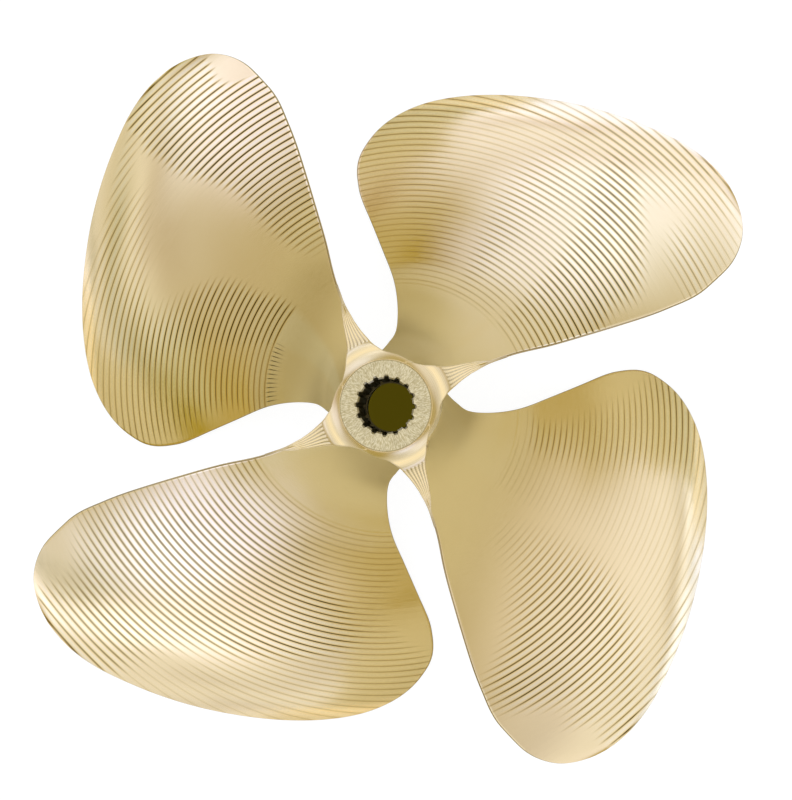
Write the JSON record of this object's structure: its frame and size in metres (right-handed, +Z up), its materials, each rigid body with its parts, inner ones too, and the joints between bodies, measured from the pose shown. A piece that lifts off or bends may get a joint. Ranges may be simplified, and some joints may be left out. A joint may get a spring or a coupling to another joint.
{
  "type": "ship propeller",
  "caption": "Left-handed ship propeller in one bronze casting: broad curved blades with milled faces on a tapered hub with a splined bore.",
  "frame": {"origin": "on the shaft axis at floor level, with the propeller lying on its leading edges", "axes": "+Z up along the shaft axis towards the nut end; X and Y as the picture's right and up"},
  "size_m": [0.606, 0.606, 0.2072],
  "materials": {
    "bronze": "bare nickel-aluminium bronze, milled and satin"
  },
  "bodies": {
    "root": {"propeller_casting": "bronze"}
  },
  "joints": []
}
